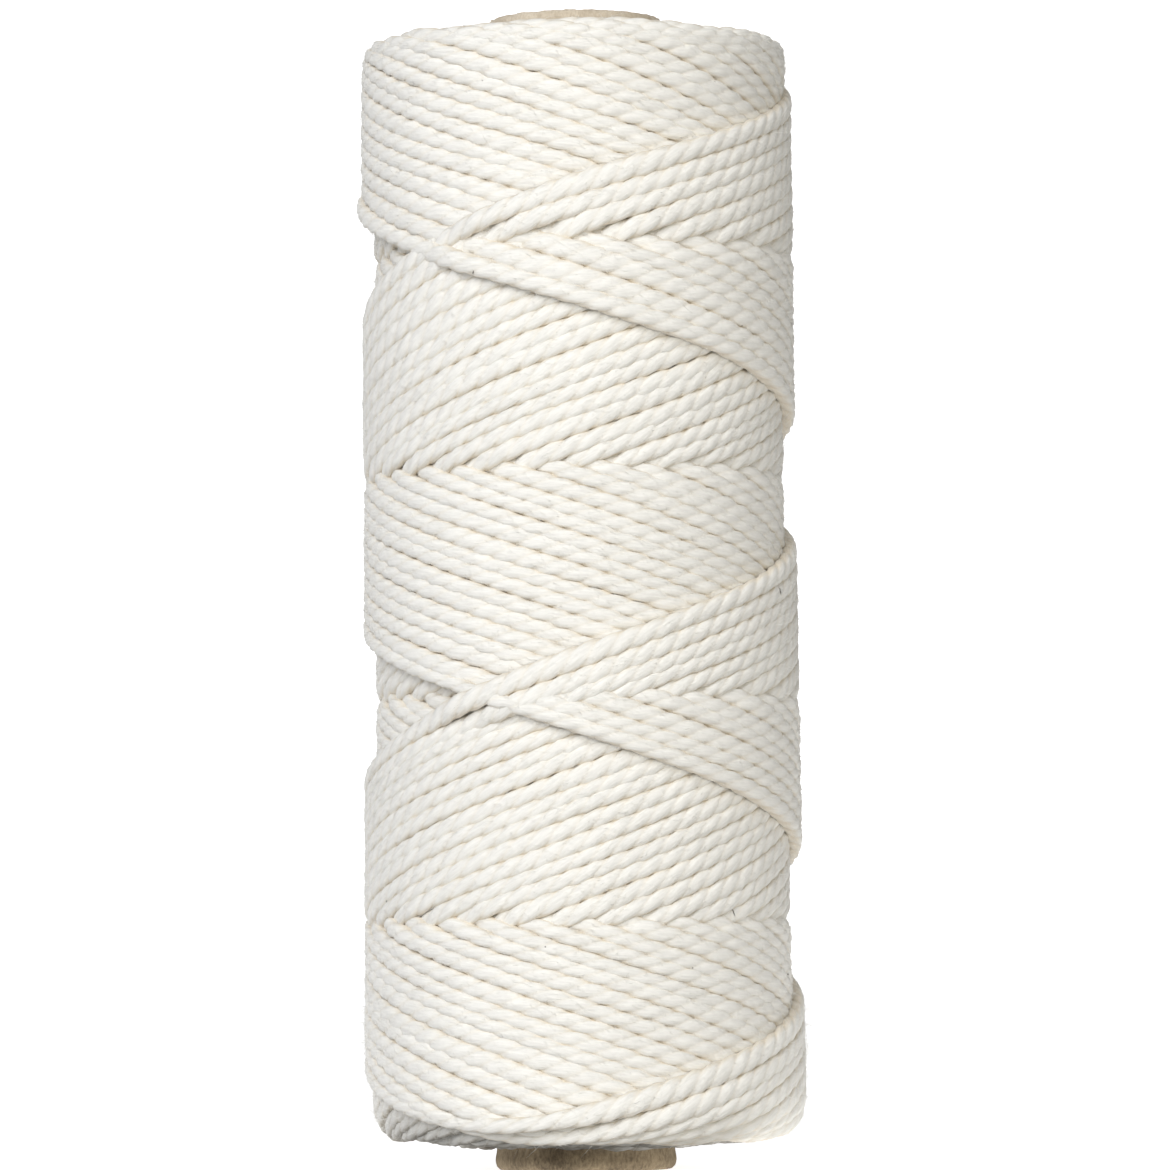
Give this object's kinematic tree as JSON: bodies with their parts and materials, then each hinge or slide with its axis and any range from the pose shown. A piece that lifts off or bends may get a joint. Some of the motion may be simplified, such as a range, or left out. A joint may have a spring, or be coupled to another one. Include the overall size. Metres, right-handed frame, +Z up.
{
  "type": "roll of cotton twine",
  "caption": "Cross-wound roll of off-white plied cotton twine on a spirally wound paper tube that stands slightly proud at both ends.",
  "frame": {"origin": "middle of the tube's lower end, on which the roll stands", "axes": "+Z up along the tube, -Y towards the viewer of the picture, +X to the viewer's right"},
  "size_m": [0.0584, 0.0584, 0.155],
  "materials": {
    "tube_paper": "matte grey-brown paper",
    "twine": "soft matte natural cotton"
  },
  "bodies": {
    "root": {"tube_inner_ply": "tube_paper", "tube_middle_ply": "tube_paper", "tube_outer_ply": "tube_paper", "inner_turns": "twine", "outer_turns": "twine"}
  },
  "joints": []
}
